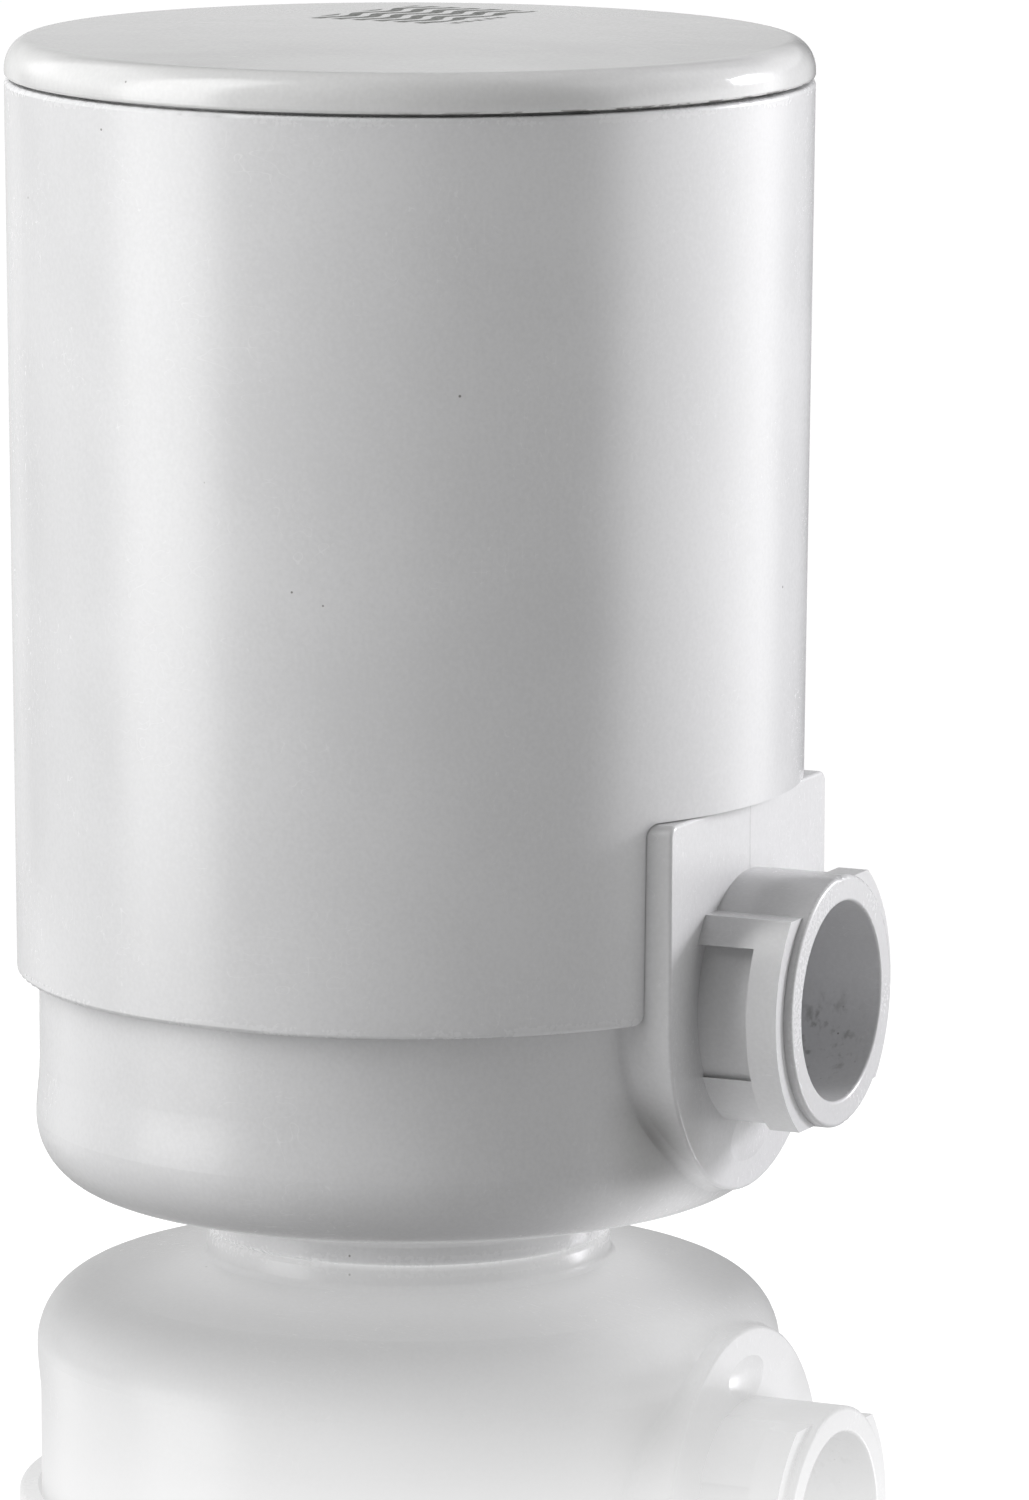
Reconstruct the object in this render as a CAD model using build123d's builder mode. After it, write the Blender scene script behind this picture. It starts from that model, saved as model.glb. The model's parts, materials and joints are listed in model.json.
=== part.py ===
from build123d import *
from math import cos, radians, sin, sqrt, tan
import os

# Replacement cartridge for a tap-mounted water filter: a white cup with a side inlet spigot,
# a plain outer sleeve and a domed cap. Water enters the side port past a check valve, rises
# around a carbon block, passes inwards through it, drops into a case of hollow fibres and
# leaves through the foot.
# Millimetres. +Z up, +X along the inlet port. The origin is the centre of the foot's underside.

# ---- Driving dimensions -------------------------------------------------------------------
FOOT_R = 16.7
FOOT_H = 2.0
FOOT_BORE_R = 14.0
FOOT_BORE_DEPTH = 3.4
FOOT_ROOT_ROUND = 0.6

CUP_R = 30.5                 # outside of the cup, inside the sleeve
CUP_BELLY_R = 30.8           # slight belly just above the bottom corner
CUP_BELLY_TOP_Z = 14.2
CUP_CORNER_R = 5.85
CUP_CONE_ANGLE = 12.0        # the underside rises outwards from the foot
CUP_WALL = 2.2
CUP_FLOOR_Z = 5.4
CUP_INNER_CORNER_R = 5.0
CUP_TOP_Z = 87.5

SLEEVE_BOTTOM_R = 32.3
SLEEVE_TOP_R = 33.0
SLEEVE_WALL = 1.5
SLEEVE_BOTTOM_Z = 21.8
SEAM_Z = 95.2
SEAM_GAP = 0.25
RIM_ROUND = 0.35
BORE_MOUTH_ROUND = 0.25

CAP_TOP_Z = 99.1
CAP_SHOULDER_R = 30.8        # where the crown meets the rounded edge
CAP_SHOULDER_Z = 98.6
CAP_SIDE_Z = 96.0            # top of the cap's short straight side
CAP_WALL = 1.6
CAP_SKIRT_WALL = 1.4

PORT_Z = 22.0
PLATE_X = 30.6
PLATE_R = 15.6
PLATE_CENTRE_V = -0.5        # centre of the plate's round end, from the port axis
PLATE_TOP_V = 16.05
PLATE_CORNER_R = 1.0
PLATE_EDGE_ROUND = 0.3
PLATE_ROOT_ROUND = 0.8       # where the plate's side runs into the cup
SPIGOT_R = 10.3
SPIGOT_BORE_R = 8.15
SPIGOT_END_X = 38.8
SPIGOT_BORE_END_X = 28.0

LUG_R = 11.85
LUG_FRONT_X = 38.1
LUG_BACK_X = 35.5
LUG_TOP_V = 7.9              # heights above the port axis, on the -Y lug
LUG_ARM_V = 5.75
LUG_CUT_V = -9.65
DETENT_V = -5.3
DETENT_R = 10.65

FIT = 0.05                   # radial clearance where one piece locates in another

# ---- Planes and helpers -------------------------------------------------------------------
# Profiles of revolution are drawn in the half plane towards -X, away from the port.
PROFILE = Plane(origin=(0, 0, 0), x_dir=(-1, 0, 0), z_dir=(0, 1, 0))
# Sections across the port axis: their own axes are +Y and +Z, seen from outside.
PORT = Plane(origin=(0, 0, PORT_Z), x_dir=(0, 1, 0), z_dir=(1, 0, 0))
PORT_AXIS = Axis((0, 0, PORT_Z), (1, 0, 0))
# Profiles of revolution about the port axis: own axes +X and +Z, starting at the port axis.
PORT_PROFILE = Plane(origin=(0, 0, PORT_Z), x_dir=(1, 0, 0), z_dir=(0, -1, 0))

os.makedirs("parts", exist_ok=True)


def save(builder, label):
    """Labels one finished sub-part and writes its STEP file."""
    builder.part.label = label
    export_step(builder.part, f"parts/{label}.step")


def turned(*points):
    """Revolves the closed outline through (radius, z) points about the body's axis."""
    with BuildPart() as piece:
        with BuildSketch(PROFILE):
            with BuildLine():
                Polyline(*points, close=True)
            make_face()
        revolve(axis=Axis.Z)
    return piece.part


def turned_on_port(*points):
    """Revolves the closed outline through (x, radius) points about the port axis."""
    with BuildPart() as piece:
        with BuildSketch(PORT_PROFILE):
            with BuildLine():
                Polyline(*points, close=True)
            make_face()
        revolve(axis=PORT_AXIS)
    return piece.part


def rim_at(builder, z):
    """The longest circular edge of a builder's part at height z."""
    level = builder.edges().filter_by(GeomType.CIRCLE).filter_by_position(Axis.Z, z - FIT, z + FIT)
    return level.sort_by(SortBy.LENGTH)[-1]


def mouth_at(builder, x):
    """The shortest circular edge of a builder's part at distance x along the port axis."""
    level = builder.edges().filter_by(GeomType.CIRCLE).filter_by_position(Axis.X, x - FIT, x + FIT)
    return level.sort_by(SortBy.LENGTH)[0]


def o_ring(plane, ring_r, section_r):
    """A plain O-ring round the plane's normal."""
    with BuildPart(plane) as piece:
        Torus(ring_r, section_r)
    return piece


# ---- Housing: cup, foot, inlet plate and spigot, one moulding -------------------------------
CUP_INNER_R = CUP_R - CUP_WALL
CONE_SLOPE = tan(radians(CUP_CONE_ANGLE))
CORNER_X = CUP_BELLY_R - CUP_CORNER_R
CORNER_Z = FOOT_H + (CORNER_X - FOOT_R) * CONE_SLOPE + CUP_CORNER_R / cos(radians(CUP_CONE_ANGLE))
CONE_END_X = CORNER_X + CUP_CORNER_R * sin(radians(CUP_CONE_ANGLE))
CONE_END_Z = CORNER_Z - CUP_CORNER_R * cos(radians(CUP_CONE_ANGLE))
CORNER_MID = radians((CUP_CONE_ANGLE - 90) / 2)

HUB_R = 15.2                 # socket on the cup's floor that holds the fibre case
HUB_TOP_Z = 13.0
HUB_BORE_R = 12.7
LEDGE_Z = 7.2
LEDGE_R = 11.0
OUTLET_R = 13.0              # recess of the outlet diffuser, above the foot bore
OUTLET_TOP_Z = 5.8

VALVE_SOCKET_R = 9.3
VALVE_SOCKET_OUTER_R = 10.9
VALVE_SOCKET_END_X = 23.0

INNER_CORNER_X = CUP_INNER_R - CUP_INNER_CORNER_R
INNER_CORNER_Z = CUP_FLOOR_Z + CUP_INNER_CORNER_R

NOTCH_GAP = 0.08             # between the sleeve's notch and the inlet plate
ROOT_TOP_Z = SLEEVE_BOTTOM_Z - NOTCH_GAP


def is_plate_root(edge):
    """Whether an edge lies where the plate's round side meets the outside of the cup."""
    for share in (0.25, 0.5, 0.75):
        point = edge @ share
        from_centre = Vector(0, point.Y, point.Z - PORT_Z - PLATE_CENTRE_V).length
        if abs(from_centre - PLATE_R) > FIT or point.X < CUP_R / 2 + FIT or point.X > PLATE_X - FIT:
            return False
    return edge.geom_type != GeomType.LINE


def bayonet_lug(side):
    """One bayonet lug: band, arm and detent. Side -1 is the same lug half a turn round the port."""
    plane = Plane(origin=PORT.origin, x_dir=(0, side, 0), z_dir=PORT.z_dir)
    steps = (
        (LUG_BACK_X, LUG_FRONT_X, LUG_R, LUG_CUT_V, LUG_TOP_V),
        (PLATE_X - FIT, LUG_BACK_X, LUG_R, LUG_ARM_V, LUG_TOP_V),
        (PLATE_X - FIT, LUG_BACK_X, DETENT_R, LUG_CUT_V, DETENT_V),
    )
    with BuildPart() as piece:
        for start_x, end_x, radius, low_v, high_v in steps:
            with BuildSketch(plane.offset(start_x)):
                Circle(radius)
                Circle(SPIGOT_R - FIT, mode=Mode.SUBTRACT)
                with Locations((-LUG_R / 2, (low_v + high_v) / 2)):
                    Rectangle(LUG_R, high_v - low_v, mode=Mode.INTERSECT)
            extrude(amount=end_x - start_x)
    return piece.part


# The inlet plate is round below the port and square above it, where it fills the sleeve's notch.
with BuildPart() as plate:
    with BuildSketch(PORT.offset(CUP_R / 2)) as plate_outline:
        with Locations((0, PLATE_CENTRE_V)):
            Circle(PLATE_R)
        with Locations((0, (PLATE_CENTRE_V + PLATE_TOP_V) / 2)):
            Rectangle(2 * PLATE_R, PLATE_TOP_V - PLATE_CENTRE_V)
        fillet(plate_outline.vertices().group_by(Axis.Y)[-1], PLATE_CORNER_R)
    extrude(amount=PLATE_X - CUP_R / 2)
    fillet(plate.edges().group_by(Axis.X)[-1], PLATE_EDGE_ROUND)

with BuildPart() as cup:
    with BuildSketch(PROFILE):
        with BuildLine():
            Polyline((0, 0), (FOOT_R, 0), (FOOT_R, FOOT_H), (CONE_END_X, CONE_END_Z))
            ThreePointArc(
                (CONE_END_X, CONE_END_Z),
                (CORNER_X + CUP_CORNER_R * cos(CORNER_MID), CORNER_Z + CUP_CORNER_R * sin(CORNER_MID)),
                (CUP_BELLY_R, CORNER_Z),
            )
            Spline((CUP_BELLY_R, CORNER_Z), (CUP_R, CUP_BELLY_TOP_Z), tangents=[(0, 1), (0, 1)])
            Polyline((CUP_R, CUP_BELLY_TOP_Z), (CUP_R, CUP_TOP_Z), (0, CUP_TOP_Z), (0, 0))
        make_face()
    revolve(axis=Axis.Z)
    fillet(rim_at(cup, FOOT_H), FOOT_ROOT_ROUND)
    fillet(rim_at(cup, 0), RIM_ROUND)
    add(plate.part)

# The rounding at the plate's root stops below the sleeve, whose notch fits the plate's bare sides.
with BuildPart() as plate_root:
    add(cup.part)
    root_edges = [edge for edge in plate_root.edges() if is_plate_root(edge)]
    fillet(root_edges, PLATE_ROOT_ROUND)
    split(bisect_by=Plane.XY.offset(ROOT_TOP_Z), keep=Keep.BOTTOM)

with BuildPart() as housing:
    add(cup.part)
    add(plate_root.part)
    # Inside of the cup, with the socket of the fibre case left standing on its floor.
    with BuildSketch(PROFILE):
        with BuildLine():
            Polyline(
                (0, CUP_TOP_Z), (CUP_INNER_R, CUP_TOP_Z), (CUP_INNER_R, INNER_CORNER_Z),
            )
            ThreePointArc(
                (CUP_INNER_R, INNER_CORNER_Z),
                (
                    INNER_CORNER_X + CUP_INNER_CORNER_R * sqrt(0.5),
                    INNER_CORNER_Z - CUP_INNER_CORNER_R * sqrt(0.5),
                ),
                (INNER_CORNER_X, CUP_FLOOR_Z),
            )
            Polyline(
                (INNER_CORNER_X, CUP_FLOOR_Z), (HUB_R, CUP_FLOOR_Z), (HUB_R, HUB_TOP_Z),
                (HUB_BORE_R, HUB_TOP_Z), (HUB_BORE_R, LEDGE_Z), (LEDGE_R, LEDGE_Z),
                (LEDGE_R, OUTLET_TOP_Z), (OUTLET_R, OUTLET_TOP_Z), (OUTLET_R, FOOT_BORE_DEPTH),
                (FOOT_BORE_R, FOOT_BORE_DEPTH), (FOOT_BORE_R, 0), (0, 0), (0, CUP_TOP_Z),
            )
        make_face()
    revolve(axis=Axis.Z, mode=Mode.SUBTRACT)
    # Spigot, bayonet lugs and, inside the cup, the socket of the check valve.
    with BuildSketch(PORT.offset(PLATE_X - FIT)):
        Circle(SPIGOT_R)
    extrude(amount=SPIGOT_END_X - PLATE_X + FIT)
    fillet(housing.edges().group_by(Axis.X)[-1], RIM_ROUND)
    for side in (1, -1):
        add(bayonet_lug(side))
    with BuildSketch(PORT.offset(VALVE_SOCKET_END_X)):
        Circle(VALVE_SOCKET_OUTER_R)
    extrude(amount=(PLATE_X + SPIGOT_BORE_END_X) / 2 - VALVE_SOCKET_END_X)
    with BuildSketch(PORT.offset(VALVE_SOCKET_END_X)):
        Circle(VALVE_SOCKET_R)
    extrude(amount=SPIGOT_BORE_END_X - VALVE_SOCKET_END_X, mode=Mode.SUBTRACT)
    with BuildSketch(PORT.offset(SPIGOT_BORE_END_X)):
        Circle(SPIGOT_BORE_R)
    extrude(amount=SPIGOT_END_X - SPIGOT_BORE_END_X, mode=Mode.SUBTRACT)
    fillet(mouth_at(housing, SPIGOT_END_X), BORE_MOUTH_ROUND)
save(housing, "housing_body")

# ---- Outer sleeve ---------------------------------------------------------------------------
SLEEVE_TOP_Z = SEAM_Z
NOTCH_R = PLATE_R + NOTCH_GAP
NOTCH_TOP_V = PLATE_TOP_V + NOTCH_GAP
RIM_V = SLEEVE_BOTTOM_Z - PORT_Z
NOTCH_CORNER_R = 1.0         # rounding where the notch meets the sleeve's lower rim

with BuildPart() as sleeve:
    with BuildSketch(PROFILE):
        with BuildLine():
            Polyline(
                (SLEEVE_BOTTOM_R, SLEEVE_BOTTOM_Z), (SLEEVE_TOP_R, SLEEVE_TOP_Z),
                (SLEEVE_TOP_R - SLEEVE_WALL, SLEEVE_TOP_Z),
                (SLEEVE_BOTTOM_R - SLEEVE_WALL, SLEEVE_BOTTOM_Z), close=True,
            )
        make_face()
    revolve(axis=Axis.Z)
    fillet((rim_at(sleeve, SLEEVE_BOTTOM_Z), rim_at(sleeve, SLEEVE_TOP_Z)), RIM_ROUND)
    with BuildSketch(PORT.offset(SLEEVE_BOTTOM_R / 2)) as notch:
        with Locations((0, (NOTCH_TOP_V + RIM_V) / 2)):
            Rectangle(2 * NOTCH_R, NOTCH_TOP_V - RIM_V)
        with Locations((0, RIM_V - PLATE_R / 2)):
            Rectangle(4 * NOTCH_R, PLATE_R)
        rim_corners = notch.vertices().group_by(Axis.Y)[-2].sort_by(Axis.X)[1:3]
        fillet(rim_corners, NOTCH_CORNER_R)
        fillet(notch.vertices().group_by(Axis.Y)[-1], PLATE_CORNER_R + NOTCH_GAP)
    extrude(amount=SLEEVE_TOP_R, mode=Mode.SUBTRACT)
save(sleeve, "outer_sleeve")

# ---- Lid that closes the cup, with its O-ring -------------------------------------------------
LID_FLANGE_T = 2.0
LID_FLANGE_R = 31.35         # centres the top of the sleeve
LID_PLUG_R = CUP_INNER_R - FIT
LID_PLUG_WALL = 2.2
LID_PLUG_BOTTOM_Z = 82.5
LID_INNER_Z = 86.0
LID_TOP_Z = CUP_TOP_Z + LID_FLANGE_T
LID_GROOVE_Z = 84.6
LID_GROOVE_DEPTH = 1.2
LID_GROOVE_HALF = 1.0
LID_RING_SECTION_R = 0.62

with BuildPart() as lid:
    add(turned(
        (0, LID_INNER_Z), (LID_PLUG_R - LID_PLUG_WALL, LID_INNER_Z),
        (LID_PLUG_R - LID_PLUG_WALL, LID_PLUG_BOTTOM_Z), (LID_PLUG_R, LID_PLUG_BOTTOM_Z),
        (LID_PLUG_R, LID_GROOVE_Z - LID_GROOVE_HALF),
        (LID_PLUG_R - LID_GROOVE_DEPTH, LID_GROOVE_Z - LID_GROOVE_HALF),
        (LID_PLUG_R - LID_GROOVE_DEPTH, LID_GROOVE_Z + LID_GROOVE_HALF),
        (LID_PLUG_R, LID_GROOVE_Z + LID_GROOVE_HALF), (LID_PLUG_R, CUP_TOP_Z),
        (LID_FLANGE_R, CUP_TOP_Z), (LID_FLANGE_R, LID_TOP_Z), (0, LID_TOP_Z),
    ))
save(lid, "housing_lid")

lid_ring = o_ring(
    Plane.XY.offset(LID_GROOVE_Z), CUP_INNER_R - LID_RING_SECTION_R, LID_RING_SECTION_R
)
save(lid_ring, "lid_o_ring")

# ---- Cap: crown, rounded edge, skirt inside the sleeve and stiffening ribs --------------------
CAP_BOTTOM_Z = SEAM_Z + SEAM_GAP
CAP_INNER_Z = CAP_SHOULDER_Z - CAP_WALL
CAP_SKIRT_R = SLEEVE_TOP_R - SLEEVE_WALL - 2 * FIT
CAP_SKIRT_INNER_R = CAP_SKIRT_R - CAP_SKIRT_WALL
CAP_RIB_COUNT = 6
CAP_RIB_BOTTOM_Z = 93.5
CAP_RIB_T = 1.2
CAP_RIB_HUB_R = 4.0

with BuildPart() as cap:
    with BuildSketch(PROFILE):
        with BuildLine():
            ThreePointArc(
                (0, CAP_TOP_Z),
                (CAP_SHOULDER_R / 2, CAP_TOP_Z - (CAP_TOP_Z - CAP_SHOULDER_Z) / 4),
                (CAP_SHOULDER_R, CAP_SHOULDER_Z),
            )
            EllipticalCenterArc(
                (CAP_SHOULDER_R, CAP_SIDE_Z), SLEEVE_TOP_R - CAP_SHOULDER_R,
                CAP_SHOULDER_Z - CAP_SIDE_Z, arc_size=90,
            )
            Polyline(
                (SLEEVE_TOP_R, CAP_SIDE_Z), (SLEEVE_TOP_R, CAP_BOTTOM_Z),
                (CAP_SKIRT_R, CAP_BOTTOM_Z), (CAP_SKIRT_R, LID_TOP_Z),
                (CAP_SKIRT_INNER_R, LID_TOP_Z), (CAP_SKIRT_INNER_R, CAP_INNER_Z),
                (0, CAP_INNER_Z), (0, CAP_TOP_Z),
            )
        make_face()
    revolve(axis=Axis.Z)
    fillet(rim_at(cap, CAP_BOTTOM_Z), RIM_ROUND)
    with BuildSketch(Plane.XY.offset(CAP_RIB_BOTTOM_Z)):
        Circle(CAP_RIB_HUB_R)
        with PolarLocations(CAP_SKIRT_INNER_R / 2, CAP_RIB_COUNT):
            Rectangle(CAP_SKIRT_INNER_R + CAP_RIB_T, CAP_RIB_T)
    extrude(amount=CAP_INNER_Z - CAP_RIB_BOTTOM_Z)
save(cap, "top_cap")

# ---- Carbon stage ---------------------------------------------------------------------------
CARBON_R = 24.0
CARBON_BORE_R = 8.0
CARBON_BOTTOM_Z = 39.5
CARBON_TOP_Z = 82.0
WRAP_R = 25.0
END_CAP_R = 25.7
END_CAP_T = 2.5
END_CAP_RIM = 2.5            # how far the end caps' rims reach over the wrap
CORE_R = CARBON_BORE_R - FIT
CORE_BORE_R = 6.5
CORE_HOLE_R = 1.2
CORE_HOLE_ROWS = 7
CORE_HOLE_PITCH = 5.4
CORE_HOLES_ROUND = 6
PAD_R = 20.0
PAD_BORE_R = 10.0
TOP_PLUG_LENGTH = 3.0
CASE_R = HUB_BORE_R - 2 * FIT
CASE_BORE_R = 10.5
CASE_TOP_Z = 36.2
END_CAP_SPIGOT_R = CASE_BORE_R - FIT
END_CAP_SPIGOT_BOTTOM_Z = 33.2
END_CAP_GROOVE_Z = 34.7
END_CAP_GROOVE_DEPTH = 1.0
END_CAP_GROOVE_HALF = 0.8
END_CAP_RING_SECTION_R = 0.52

with BuildPart() as pad:
    with BuildSketch(Plane.XY.offset(CARBON_TOP_Z + END_CAP_T)):
        Circle(PAD_R)
        Circle(PAD_BORE_R, mode=Mode.SUBTRACT)
    extrude(amount=LID_INNER_Z - CARBON_TOP_Z - END_CAP_T)
save(pad, "hold_down_pad")

with BuildPart() as top_end_cap:
    add(turned(
        (0, CARBON_TOP_Z + END_CAP_T), (END_CAP_R, CARBON_TOP_Z + END_CAP_T),
        (END_CAP_R, CARBON_TOP_Z - END_CAP_RIM), (WRAP_R + FIT, CARBON_TOP_Z - END_CAP_RIM),
        (WRAP_R + FIT, CARBON_TOP_Z), (CORE_BORE_R - FIT, CARBON_TOP_Z),
        (CORE_BORE_R - FIT, CARBON_TOP_Z - TOP_PLUG_LENGTH), (0, CARBON_TOP_Z - TOP_PLUG_LENGTH),
    ))
save(top_end_cap, "carbon_top_end_cap")

with BuildPart() as carbon:
    with BuildSketch(Plane.XY.offset(CARBON_BOTTOM_Z)):
        Circle(CARBON_R)
        Circle(CARBON_BORE_R, mode=Mode.SUBTRACT)
    extrude(amount=CARBON_TOP_Z - CARBON_BOTTOM_Z)
save(carbon, "carbon_block")

with BuildPart() as wrap:
    with BuildSketch(Plane.XY.offset(CARBON_BOTTOM_Z)):
        Circle(WRAP_R)
        Circle(CARBON_R + FIT, mode=Mode.SUBTRACT)
    extrude(amount=CARBON_TOP_Z - CARBON_BOTTOM_Z)
save(wrap, "prefilter_wrap")

with BuildPart() as core:
    with BuildSketch(Plane.XY.offset(CARBON_BOTTOM_Z)):
        Circle(CORE_R)
        Circle(CORE_BORE_R, mode=Mode.SUBTRACT)
    extrude(amount=CARBON_TOP_Z - CARBON_BOTTOM_Z)
    middle_z = (CARBON_TOP_Z + CARBON_BOTTOM_Z) / 2
    for step in range(CORE_HOLES_ROUND // 2):
        angle = 360 * step / CORE_HOLES_ROUND
        side_plane = Plane.XZ.rotated((0, 0, angle))
        side_plane.origin = (0, 0, middle_z)
        with BuildSketch(side_plane):
            with GridLocations(0, CORE_HOLE_PITCH, 1, CORE_HOLE_ROWS):
                Circle(CORE_HOLE_R)
        extrude(amount=2 * CORE_R, both=True, mode=Mode.SUBTRACT)
save(core, "core_tube")

with BuildPart() as bottom_end_cap:
    add(turned(
        (CORE_BORE_R, CARBON_BOTTOM_Z), (WRAP_R + FIT, CARBON_BOTTOM_Z),
        (WRAP_R + FIT, CARBON_BOTTOM_Z + END_CAP_RIM), (END_CAP_R, CARBON_BOTTOM_Z + END_CAP_RIM),
        (END_CAP_R, CARBON_BOTTOM_Z - END_CAP_T), (END_CAP_SPIGOT_R, CARBON_BOTTOM_Z - END_CAP_T),
        (END_CAP_SPIGOT_R, END_CAP_GROOVE_Z + END_CAP_GROOVE_HALF),
        (END_CAP_SPIGOT_R - END_CAP_GROOVE_DEPTH, END_CAP_GROOVE_Z + END_CAP_GROOVE_HALF),
        (END_CAP_SPIGOT_R - END_CAP_GROOVE_DEPTH, END_CAP_GROOVE_Z - END_CAP_GROOVE_HALF),
        (END_CAP_SPIGOT_R, END_CAP_GROOVE_Z - END_CAP_GROOVE_HALF),
        (END_CAP_SPIGOT_R, END_CAP_SPIGOT_BOTTOM_Z), (CORE_BORE_R, END_CAP_SPIGOT_BOTTOM_Z),
    ))
save(bottom_end_cap, "carbon_bottom_end_cap")

end_cap_ring = o_ring(
    Plane.XY.offset(END_CAP_GROOVE_Z), CASE_BORE_R - END_CAP_RING_SECTION_R, END_CAP_RING_SECTION_R
)
save(end_cap_ring, "end_cap_o_ring")

# ---- Hollow-fibre stage -----------------------------------------------------------------------
CASE_GROOVE_Z = 10.2
CASE_GROOVE_DEPTH = 1.1
CASE_GROOVE_HALF = 1.0
CASE_RING_SECTION_R = 0.6
POTTING_TOP_Z = 12.0
FIBRE_R = 0.7
FIBRE_PITCH = 2.4
FIBRE_BEND_Z = 23.0          # the straight legs end here and the U bends begin
FIBRE_FIELD_R = 9.6          # every leg stands inside this radius

with BuildPart() as case:
    add(turned(
        (CASE_BORE_R, LEDGE_Z), (CASE_R, LEDGE_Z), (CASE_R, CASE_GROOVE_Z - CASE_GROOVE_HALF),
        (CASE_R - CASE_GROOVE_DEPTH, CASE_GROOVE_Z - CASE_GROOVE_HALF),
        (CASE_R - CASE_GROOVE_DEPTH, CASE_GROOVE_Z + CASE_GROOVE_HALF),
        (CASE_R, CASE_GROOVE_Z + CASE_GROOVE_HALF), (CASE_R, CASE_TOP_Z),
        (CASE_BORE_R, CASE_TOP_Z),
    ))
save(case, "fibre_case")

case_ring = o_ring(
    Plane.XY.offset(CASE_GROOVE_Z), HUB_BORE_R - CASE_RING_SECTION_R, CASE_RING_SECTION_R
)
save(case_ring, "case_o_ring")


def fibre_loops():
    """Every U-shaped fibre as (row's y, bend radius): nested loops in parallel rows."""
    rows = int(FIBRE_FIELD_R / FIBRE_PITCH)
    loops = []
    for row in range(-rows + 1, rows):
        y = row * FIBRE_PITCH
        half_width = sqrt(FIBRE_FIELD_R**2 - y**2)
        bend_r = FIBRE_PITCH / 2
        while bend_r <= half_width:
            loops.append((y, bend_r))
            bend_r += FIBRE_PITCH
    return loops


def fibre(y, bend_r):
    """One fibre: two straight legs joined by a half-circle bend."""
    with BuildPart() as piece:
        with BuildLine(Plane.XZ.offset(-y)) as path:
            Line((-bend_r, LEDGE_Z), (-bend_r, FIBRE_BEND_Z))
            RadiusArc((-bend_r, FIBRE_BEND_Z), (bend_r, FIBRE_BEND_Z), bend_r)
            Line((bend_r, FIBRE_BEND_Z), (bend_r, LEDGE_Z))
        with BuildSketch(Plane(origin=(-bend_r, y, LEDGE_Z), z_dir=(0, 0, 1))):
            Circle(FIBRE_R)
        sweep(path=path.wire())
    return piece.part


fibres = Compound(children=[fibre(y, bend_r) for y, bend_r in fibre_loops()])
fibres.label = "fibre_bundle"
export_step(fibres, "parts/fibre_bundle.step")

with BuildPart() as potting:
    with BuildSketch(Plane.XY.offset(LEDGE_Z)):
        Circle(CASE_BORE_R - FIT)
        leg_places = [(side * bend_r, y) for y, bend_r in fibre_loops() for side in (-1, 1)]
        with Locations(*leg_places):
            Circle(FIBRE_R + FIT, mode=Mode.SUBTRACT)
    extrude(amount=POTTING_TOP_Z - LEDGE_Z)
save(potting, "fibre_potting")

# ---- Outlet -----------------------------------------------------------------------------------
DIFFUSER_T = 1.4
DIFFUSER_R = OUTLET_R - FIT
DIFFUSER_HOLE_R = 0.8
DIFFUSER_RING_PITCH = 3.2
DIFFUSER_RINGS = 3
RETAINER_BORE_R = 11.5


def hole_rings(pitch, rings):
    """Rings of 6, 12, 18... evenly spaced holes, as (ring's radius, count) pairs."""
    return [(pitch * ring, 6 * ring) for ring in range(1, rings + 1)]


with BuildPart() as diffuser:
    with BuildSketch(Plane.XY.offset(OUTLET_TOP_Z - DIFFUSER_T)):
        Circle(DIFFUSER_R)
        Circle(DIFFUSER_HOLE_R, mode=Mode.SUBTRACT)
        for ring_r, count in hole_rings(DIFFUSER_RING_PITCH, DIFFUSER_RINGS):
            with PolarLocations(ring_r, count):
                Circle(DIFFUSER_HOLE_R, mode=Mode.SUBTRACT)
    extrude(amount=DIFFUSER_T)
save(diffuser, "outlet_diffuser")

with BuildPart() as retainer:
    with BuildSketch(Plane.XY.offset(FOOT_BORE_DEPTH)):
        Circle(DIFFUSER_R)
        Circle(RETAINER_BORE_R, mode=Mode.SUBTRACT)
    extrude(amount=OUTLET_TOP_Z - DIFFUSER_T - FOOT_BORE_DEPTH)
save(retainer, "outlet_retainer_ring")

# ---- Inlet check valve: it opens inwards, towards -X --------------------------------------------
SEAT_R = VALVE_SOCKET_R - FIT
SEAT_BORE_R = 5.5
SEAT_BACK_X = 26.0
SEAT_LIP_R = 6.2
SEAT_LIP_BORE_R = 5.7
SEAT_LIP_X = 25.8
SEAT_GROOVE_X = 27.0
SEAT_GROOVE_HALF = 0.6
SEAT_GROOVE_DEPTH = 0.95
SEAT_RING_SECTION_R = 0.48
STRAINER_R = 7.2
STRAINER_T = 0.7
STRAINER_HOLE_R = 0.55
STRAINER_RING_PITCH = 1.6
STRAINER_RINGS = 3

POPPET_R = 7.2
POPPET_T = 1.2
SEAL_R = 6.9
SEAL_BORE_R = 3.0
SEAL_T = 0.8
NOSE_LENGTH = 1.4
STEM_R = 1.5
STEM_END_X = 15.4
SPRING_BOSS_R = 2.5
SPRING_BOSS_T = 1.0

CAGE_R = VALVE_SOCKET_R - 2 * FIT
CAGE_BORE_R = 8.2
CAGE_END_X = 17.6
CAGE_FLOOR_T = 1.2
CAGE_HUB_R = 2.6
CAGE_HUB_END_X = 20.0
CAGE_GUIDE_R = STEM_R + FIT
CAGE_WINDOWS = 6
CAGE_WINDOW_W = 4.0
CAGE_WINDOW_START_X = 19.8
CAGE_WINDOW_END_X = 24.2
CAGE_HOLE_R = 1.4
CAGE_HOLE_RING_R = 5.6

SPRING_R = 3.35
SPRING_WIRE_R = 0.25
SPRING_TURNS = 3.5

SEAL_BACK_X = SEAT_LIP_X - SEAL_T
POPPET_BACK_X = SEAL_BACK_X - POPPET_T

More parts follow.
